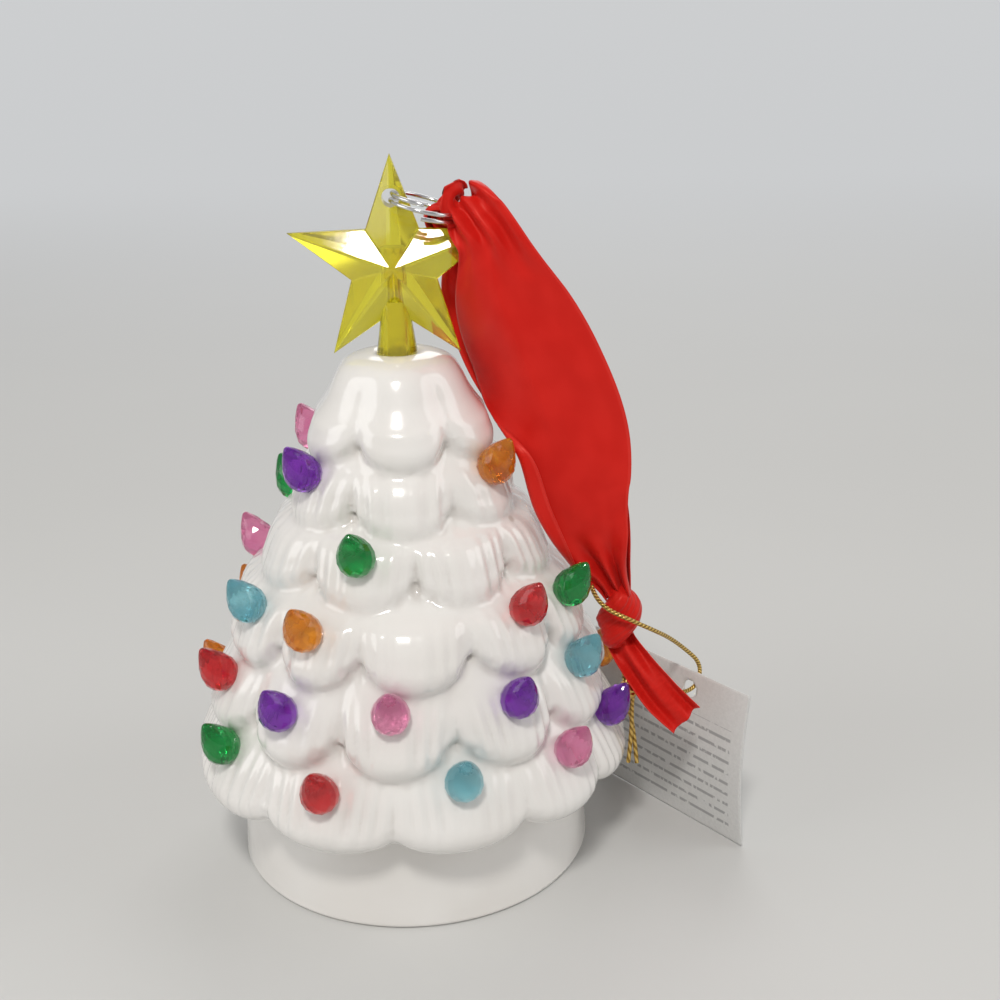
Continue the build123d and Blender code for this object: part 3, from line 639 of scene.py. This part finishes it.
for count, (colour, tier, azimuth, drop) in enumerate(bulb_places, 1):
    name = f"{count:02d}_{colour}"
    mesh = bulb_shape.copy()
    mesh.name = f"lamp_{name}"
    spin = Matrix.Rotation(count * 0.7, 4, "Z")
    mesh.transform(bulb_matrix(tier - 1, azimuth, drop) @ spin)
    settle(mesh.name, mesh, bulb_finishes[colour], "tree", [f"bulb_{name}"])
bpy.data.meshes.remove(bulb_shape)
print("bulbs placed:", len(bulb_places))

# %% [markdown]
# ## The star
# The star is one clear yellow moulding with ten flat facets on each face, a flared collar below and a bore
# up its middle. The solid already has that form, so a copy of it is merged, its flat faces are joined, and
# its sharp edges are bevelled so that they catch the light as moulded edges do.

# %% Star
clear_yellow, start, place, drive = new_finish(
    "clear_yellow", Transmission_Weight=0.82, IOR=1.46, Coat_Weight=0.5, Coat_Roughness=0.03
)
tint = place.noise(45.0, 2.0)
tone = tint.step(0.50, 0.80).mix((0.93, 0.85, 0.05), (0.92, 0.64, 0.05))
drive(Base_Color=tone, Roughness=place.noise(300.0, 2.0) * 0.08 + 0.03)
bm = bmesh.new()
bm.from_mesh(nodes["star_topper"].data)
bmesh.ops.remove_doubles(bm, verts=bm.verts, dist=2e-6)
bmesh.ops.dissolve_limit(bm, angle_limit=radians(1.0), verts=bm.verts, edges=bm.edges)
least_angle, least_length = radians(9), 0.002
sharp = [
    e for e in bm.edges
    if e.is_manifold and e.calc_face_angle(0) > least_angle and e.calc_length() > least_length
]
bmesh.ops.bevel(bm, geom=sharp, offset=0.0002, affect="EDGES", segments=2, profile=0.5, material=-1)
star_mesh = to_mesh("clear_star", bm, smooth=False)
star = settle("clear_star", star_mesh, clear_yellow, "tree", ["star_topper"])
print("star:", len(star.data.polygons), "faces")

# %% [markdown]
# ## Plated metal, steel and plastics
# The ring, screws, contacts and the light unit keep their solids, whose shapes are right. Each gets a
# finish with the fine variation that its real surface shows: drawn wire, turned steel, moulded grain.

# %% Metal and plastic finishes
plated_wire, start, place, drive = new_finish("plated_wire", Metallic=1.0)
smear = place.noise(500.0, 3.0)
drive(
    Base_Color=smear.step(0.3, 0.8).mix((0.58, 0.58, 0.60), (0.80, 0.80, 0.81)),
    Roughness=smear * 0.18 + 0.08,
    Normal=smear.bump(0.06, 0.0001),
)
paint("split_ring", plated_wire)

turned_steel, start, place, drive = new_finish("turned_steel", Metallic=1.0)
grain = place.scaled((1.0, 1.0, 14.0)).noise(420.0, 4.0)
drive(
    Base_Color=grain.step(0.3, 0.8).mix((0.50, 0.49, 0.47), (0.70, 0.69, 0.66)),
    Roughness=grain * 0.25 + 0.22,
    Normal=grain.bump(0.10, 0.0001),
)
for name in ("cover_screw_1", "cover_screw_2", "cover_screw_3", "door_screw", "coin_cell", "contact_positive",
             "contact_negative", "switch_body"):
    paint(name, turned_steel)


def moulded(name, low, high):
    """Moulded plastic between two colours, with a fine grain."""
    finish, start, place, drive = new_finish(name, Specular_IOR_Level=0.4)
    pores = place.noise(900.0, 3.0)
    drive(
        Base_Color=place.noise(70.0, 2.0).step(0.3, 0.7).mix(low, high),
        Roughness=pores * 0.2 + 0.42,
        Normal=pores.bump(0.15, 0.0001),
    )
    return finish


unit_white = moulded("unit_white", (0.70, 0.69, 0.66), (0.76, 0.75, 0.72))
for name in ("light_cover", "light_housing"):
    paint(name, unit_white)
paint("battery_door", moulded("door_white", (0.66, 0.65, 0.62), (0.72, 0.71, 0.68)))
paint("switch_slider", moulded("slider_black", (0.02, 0.02, 0.02), (0.05, 0.05, 0.05)))
paint("circuit_board", moulded("board_green", (0.02, 0.12, 0.05), (0.04, 0.20, 0.09)))
lens, start, place, drive = new_finish("lamp_lens", Transmission_Weight=0.7, IOR=1.5)
haze = place.noise(500.0, 2.0)
drive(Base_Color=haze.step(0.3, 0.7).mix((0.82, 0.80, 0.70), (0.92, 0.91, 0.86)), Roughness=haze * 0.2 + 0.08)
paint("led", lens)
print("finishes on", len(painted), "carried-over solids")

# %% [markdown]
# ## Satin ribbon
# The hanger is one length of red satin. It could be a cloth simulation, but the ribbon's few broad folds
# are easier to set one by one. Each cross-section is flat and a little bowed where the ribbon spreads,
# pleated where it is drawn together, and tucked back or curled over along one edge of the front leg. The
# pleats are shallower than real ones, so that the gathered neck stays slim. A grid is made flat, with its own
# UV map for the weave, and its vertices are moved to those sections.

# %% Satin finish
satin, start, place, drive = new_finish(
    "red_satin", Sheen_Weight=0.1, Sheen_Roughness=0.35, Sheen_Tint=(1.0, 0.42, 0.36, 1.0),
    Specular_IOR_Level=0.5, Specular_Tint=(1.0, 0.30, 0.25, 1.0), Anisotropic=0.5,
)
weft_threads, warp_threads = 2600.0, 420.0
weave_uv = start.node("TexCoord", out=2)
weft = weave_uv.node("SeparateXYZ", {0: weave_uv}, out=1)
warp = weave_uv.node("SeparateXYZ", {0: weave_uv}, out=0)
threads = (weft * weft_threads).sine() * 0.5 + (warp * warp_threads).sine() * 0.5
slub = weave_uv.scaled((5.0, 40.0, 1.0)).noise(1.0, 1.0)
selvage_and_edge_sheen = 1.0 - warp.step(0.018, 0.03) * (1.0 - warp.step(0.97, 0.982))
red = slub.step(0.3, 0.7).mix((0.60, 0.013, 0.009), (0.65, 0.017, 0.012))
# painted highlight: both edges are painted a lighter red as a sheen along the selvage, which the bump also
# raises as a woven edge
red = (selvage_and_edge_sheen * 0.4).mix(red, (0.72, 0.05, 0.04))
drive(
    Base_Color=red,
    Roughness=slub * 0.08 + 0.33,
    Normal=(threads * 0.35 + selvage_and_edge_sheen * 1.5).bump(0.18, 0.00006),
)
print("satin finish ready")


# %% Ribbon sections
def through(values, shares):
    """Smooth values at shares of the way through a list of stations, by Catmull-Rom."""
    values = np.array(values, float)
    last = len(values) - 1
    spots = np.asarray(shares) * last
    k = np.clip(spots.astype(int), 0, last - 1)
    t = (spots - k).reshape(-1, *[1] * (values.ndim - 1))
    a, b, c, d = (values[np.clip(k + n, 0, last)] for n in (-1, 0, 1, 2))
    square = 2 * a - 5 * b + 4 * c - d
    cube = 3 * b - a - 3 * c + d
    return 0.5 * (2 * b + (c - a) * t + square * t ** 2 + cube * t ** 3)


curl_radius, deepest_pleat = 0.9, 2.7
tuck_start, full_spread, gather_range = 0.56, 0.68, 0.3


def ribbon_strip(stations, cut_width, pleats, columns, rows):
    """A flat grid moved onto stations, in millimetres.

    A station has its middle, the direction of its width, its width, and how far it bows, curls over its edge,
    rucks and tucks back.
    """
    bm = bmesh.new()
    bm.loops.layers.uv.new("weave")
    bmesh.ops.create_grid(bm, x_segments=columns, y_segments=rows, size=0.5, calc_uvs=True)
    shares = np.linspace(0, 1, rows + 1)
    middle, lie, width, bow, curl, ruck, tuck = (through(column, shares) for column in zip(*stations))
    way = np.gradient(middle, axis=0)
    way /= np.linalg.norm(way, axis=1, keepdims=True)
    lie = lie - way * (lie * way).sum(1, keepdims=True)
    lie /= np.linalg.norm(lie, axis=1, keepdims=True)
    face = np.cross(way, lie)
    flank = cut_width / (2 * pleats)
    for vert in bm.verts:
        k = int(round((vert.co.y + 0.5) * rows))
        across = vert.co.x + 0.5
        chord = width[k]
        run = across * chord
        rise = bow[k] * (1 - (2 * across - 1) ** 2)
        half_pleat = min(chord, cut_width) / (2 * pleats)
        depth = min(deepest_pleat, sqrt(max(0.0, flank ** 2 - half_pleat ** 2)))
        fold = 2 * abs((across * pleats + 0.25) % 1 - 0.5) - 0.5
        gather = min(1.0, max(0.0, (full_spread - chord / cut_width) / gather_range))
        rise += depth * sin(fold * pi) / 2 * gather * (0.7 + 0.3 * sin(7 * across + 0.15 * k))
        rise += ruck[k] * sin(across * 9 + k * 0.11) * sin(k * 0.23 + 2.0 * across)
        rise += tuck[k] * max(0.0, (across - tuck_start) / (1 - tuck_start)) ** 1.5
        past = run - (chord - curl[k])
        if past > 0:
            turn = min(past / curl_radius, pi)
            rest = max(0.0, past - pi * curl_radius)
            run = chord - curl[k] + curl_radius * sin(turn) - rest
            rise -= curl_radius * (1 - cos(turn))
        spot = middle[k] + lie[k] * (run - chord / 2) + face[k] * rise
        vert.co = Vector(spot) * MM
    return bm


def measure_cloth(piece):
    """Prints a ribbon piece's faces and area."""
    area = sum(face.area for face in piece.data.polygons) / MM ** 2
    print(piece.name, "has", len(piece.data.polygons), "faces and", round(area), "mm2")


print("ribbon sections ready")

# %% Ribbon loop
ribbon_width, ribbon_length, cloth_thickness = 25.0, 160.0, 0.16
ring_hole_height = 119.886
loop_stations = [
    ((37.6, -4.4, -69.9), (1, 0, 0), 4.6, 0.3, 0, 0.0, 0),
    ((36.9, -5.1, -65.9), (1, 0, 0), 5.8, 0.4, 0, 0.0, 0),
    ((34.8, -5.6, -59.9), (1, 0, 0.2), 10.0, 0.6, 0, 0.1, 0),
    ((32.4, -2.6, -50.9), (1, 0, 0.3), 12.6, 1.0, 0, 0.1, 0),
    ((26.8, 2.8, -39.9), (1, 0, 0.4), 16.0, 1.2, 0, 0.1, 0),
    ((20.4, 5.9, -27.9), (1, 0, 0.5), 18.6, 1.2, 0, 0.1, 0),
    ((15.0, 6.6, -16.9), (1, 0, 0.45), 15.4, 0.9, 0, 0.1, 0),
    ((12.2, 5.6, -10.1), (1, 0.25, 0.3), 9.2, 0.6, 0, 0.1, 0),
    ((10.4, 4.9, -7.5), (1, 0.3, 0.1), 5.4, 0.3, 0, 0.0, 0),
    ((7.5, 3.2, -5.5), (1, 0.15, 0), 3.6, 0.2, 0, 0.0, 0),
    ((6.9, 1.9, -3.3), (1, 0.1, 0), 3.2, 0.2, 0, 0.0, 0),
    ((9.2, 1.3, -1.6), (0.5, 0.85, 0.2), 4.2, 0.2, 0, 0.0, 0),
    ((10.6, -0.9, -0.9), (-0.35, 0.9, 0.05), 6.4, 0.2, 0, 0.0, 0),
    ((12.0, -2.9, -1.1), (-0.8, 0.6, -0.05), 9.0, 0.3, 0, 0.0, 0),
    ((13.7, -4.6, -3.2), (-0.93, 0.35, -0.2), 10.8, 0.4, 0, 0.0, 0.5),
    ((16.2, -5.9, -7.4), (-0.87, 0.1, -0.5), 12.0, 0.5, 0, 0.0, 2.0),
    ((19.2, -6.5, -17.4), (-0.93, 0, -0.37), 19.2, 0.6, 0, 0.1, 8.5),
    ((23.7, -7.0, -28.4), (-0.95, 0, -0.32), 22.2, 0.8, 0, 0.1, 11.2),
    ((27.7, -7.4, -39.9), (-0.96, 0, -0.29), 22.6, 0.9, 3.8, 0.1, 1.5),
    ((29.1, -8.2, -50.9), (-1, 0, -0.1), 20.6, 1.0, 4.8, 0.1, 0),
    ((32.6, -8.0, -59.9), (-1, 0, 0), 14.0, 0.8, 3.2, 0.1, 0),
    ((35.8, -6.6, -65.9), (-1, 0, 0), 6.8, 0.4, 0.6, 0.0, 0),
    ((37.6, -5.9, -69.9), (-1, 0, 0), 4.6, 0.3, 0, 0.0, 0),
]
loop_stations = [((x, y, z + ring_hole_height), *rest) for (x, y, z), *rest in loop_stations]
bm = ribbon_strip(loop_stations, ribbon_width, 3, 80, 300)
loop = settle("satin_loop", to_mesh("satin_loop", bm), satin, "ribbon", ["ribbon_loop"])
thicken(loop, cloth_thickness)
measure_cloth(loop)

# %% Ribbon knot
knot_middle = Vector((37.6, -5.2, 45.8)) * MM
knot_half = (3.3, 3.2, 6.0)
bm = bmesh.new()
bmesh.ops.create_icosphere(bm, subdivisions=6, radius=1.0)
bm.loops.layers.uv.new("weave")
for vert in bm.verts:
    x, y, z = vert.co
    wrap = atan2(y, x) - 2.4 * z
    folds = 0.17 * cos(2 * wrap + 0.5) + 0.10 * abs(sin(1.5 * wrap + 0.7))
    bulge = 1 + folds + 0.022 * sin(11 * wrap + 2 * z)
    sway = 1.0 * sin(2.2 * z + 0.3)
    vert.co = Vector((x * knot_half[0] * bulge + sway, y * knot_half[1] * bulge, z * knot_half[2])) * MM
bmesh.ops.rotate(bm, verts=bm.verts, cent=(0, 0, 0), matrix=Matrix.Rotation(radians(-8), 3, "Y"))
bmesh.ops.translate(bm, verts=bm.verts, vec=knot_middle)
knot_uv = bm.loops.layers.uv["weave"]
for face in bm.faces:
    for corner in face.loops:
        spot = corner.vert.co - knot_middle
        turn = atan2(spot.y, spot.x)
        corner[knot_uv].uv = (0.5 + 0.06 * turn, spot.z / MM / 140 + 0.02 * turn)
knot = settle("satin_knot", to_mesh("satin_knot", bm), satin, "ribbon", ["ribbon_knot"])
print("ribbon knot:", len(knot.data.polygons), "faces")

# %% Ribbon tail
tail_cut, tail_pleats = 19.0, 1.5
tail_stations = [
    ((37.6, -4.9, 43.6), (1, 0, 0), 4.6, -0.3, 0, 0.0, 0),
    ((38.4, -5.8, 40.8), (1, 0, 0.4), 5.2, -0.5, 0, 0.1, 0),
    ((40.8, -8.3, 37.6), (1, 0, 0.75), 6.0, -0.8, 0, 0.1, 0),
    ((45.0, -10.7, 32.6), (1, 0.1, 0.85), 6.8, -1.0, 0, 0.1, 0),
    ((49.6, -11.4, 28.0), (1, 0.2, 0.95), 6.6, -0.8, 0, 0.1, 0),
]
bm = ribbon_strip(tail_stations, tail_cut, tail_pleats, 48, 60)
tail = settle("satin_tail", to_mesh("satin_tail", bm), satin, "ribbon", ["ribbon_tail"])
thicken(tail, cloth_thickness)
measure_cloth(tail)

# %% [markdown]
# ## Floor and light
# A plain pale floor and large soft lamps, as in a small studio. The brightest lamp is above and in front,
# where it leaves the long highlights that show how glossy the glaze is.

# %% Floor
floor_half = 40.0
floor_finish, start, place, drive = new_finish(
    "floor_pale", Specular_IOR_Level=0.2, Roughness=0.7, Emission_Strength=1.0
)
seen = start.node("LightPath", out="Is Camera Ray") + start.node("LightPath", out="Is Glossy Ray")
seen = seen + start.node("LightPath", out="Is Transmission Ray")
far = place.node("SeparateXYZ", {0: place}, out=1).step(0.12, 0.9)
drive(
    Base_Color=far.mix(place.noise(8.0, 2.0).mix((0.60, 0.60, 0.59), (0.63, 0.63, 0.62)), (0.0, 0.0, 0.0)),
    Emission_Color=(far * seen.math("MINIMUM", seen, 1.0)).mix((0.0, 0.0, 0.0), (0.57, 0.58, 0.59)),
)
bm = bmesh.new()
bmesh.ops.create_grid(bm, x_segments=2, y_segments=2, size=floor_half)
floor_mesh = to_mesh("floor", bm)
floor_mesh.materials.append(floor_finish)
floor = bpy.data.objects.new("floor", floor_mesh)
bpy.context.scene.collection.objects.link(floor)
print("floor:", 2 * floor_half, "m across")

# %% Light
world = bpy.data.worlds.new("studio")
bpy.context.scene.world = world
world.use_nodes = True
world.node_tree.nodes["Background"].inputs["Color"].default_value = (0.93, 0.92, 0.90, 1.0)
world.node_tree.nodes["Background"].inputs["Strength"].default_value = 0.46


def lamp(name, spot, aim, size, power, colour=(1, 1, 1)):
    """A round soft lamp at a spot, turned to its aim."""
    data = bpy.data.lights.new(name, "AREA")
    data.shape = "DISK"
    data.size, data.energy, data.color = size, power, colour
    made = bpy.data.objects.new(name, data)
    made.location = spot
    made.rotation_euler = (Vector(aim) - Vector(spot)).to_track_quat("-Z", "Y").to_euler()
    bpy.context.scene.collection.objects.link(made)


studio_lamps = [
    ("key", (-0.05, -0.55, 0.75), (0, 0, 0.06), 0.14, 3.4, (1.0, 0.97, 0.93)),
    ("left_fill", (-0.75, -0.25, 0.45), (0, 0, 0.05), 0.60, 1.5),
    ("right_fill", (0.75, -0.10, 0.50), (0, 0, 0.05), 0.60, 1.3),
    ("back", (0.1, 0.75, 0.60), (0, 0, 0.06), 0.60, 1.6),
]
for row in studio_lamps:
    lamp(*row)
print("world and", len(studio_lamps), "lamps")

# %% [markdown]
# ## Colours
# Colours are shown as they are written, with no film curve over them.

# %% Colours
bpy.context.scene.view_settings.view_transform = "Standard"
